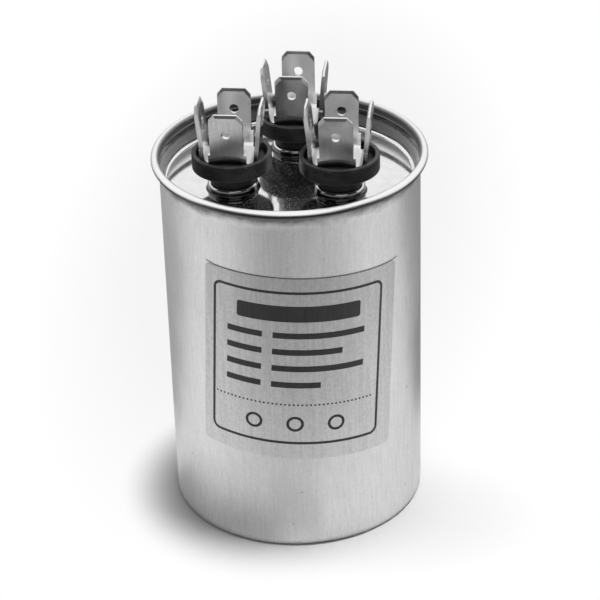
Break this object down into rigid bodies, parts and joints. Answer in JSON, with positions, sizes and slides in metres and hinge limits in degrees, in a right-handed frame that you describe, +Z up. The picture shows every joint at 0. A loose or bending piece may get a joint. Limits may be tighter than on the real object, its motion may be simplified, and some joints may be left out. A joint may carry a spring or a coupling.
{
  "type": "motor run capacitor",
  "caption": "Round metal-can motor-run capacitor with a recessed lid, rolled seam, foil label and insulated push-on blade terminals on top.",
  "frame": {"origin": "centre of the can's base, on the surface it stands on", "axes": "+Z up along the can's axis, -Y towards the label and the pair of front terminals"},
  "size_m": [0.053, 0.053, 0.0872],
  "materials": {
    "can_metal": "fine vertical brushing",
    "lid_metal": "bright tin plate",
    "label_foil": "satin foil with black line print",
    "insulator_plastic": "moulded black",
    "tab_metal": "tinned sheet",
    "rivet_metal": "tinned",
    "seal_rubber": "soft black",
    "bushing_plastic": "natural",
    "pale_plastic": "natural",
    "winding_film": "metallised film, edge on",
    "barrier_film": "plain film",
    "sprayed_metal": "rough sprayed zinc",
    "wrap_film": "plain wrap",
    "lead_metal": "copper strip"
  },
  "bodies": {
    "root": {"can": "can_metal", "lid": "lid_metal", "label": "label_foil", "core_tube": "pale_plastic", "small_winding": "winding_film", "barrier_film": "barrier_film", "large_winding": "winding_film", "common_end": "sprayed_metal", "small_end": "sprayed_metal", "large_end": "sprayed_metal", "roll_wrap": "wrap_film", "base_insulator": "pale_plastic", "breaker_plate": "pale_plastic", "lead_left": "lead_metal", "lead_right": "lead_metal", "lead_rear": "lead_metal", "insulator_left": "insulator_plastic", "tab_left": "tab_metal", "rivet_left": "rivet_metal", "gasket_left": "seal_rubber", "bushing_left": "bushing_plastic", "insulator_right": "insulator_plastic", "tab_right": "tab_metal", "rivet_right": "rivet_metal", "gasket_right": "seal_rubber", "bushing_right": "bushing_plastic", "insulator_rear": "insulator_plastic", "tab_rear": "tab_metal", "rivet_rear": "rivet_metal", "gasket_rear": "seal_rubber", "bushing_rear": "bushing_plastic"}
  },
  "joints": []
}
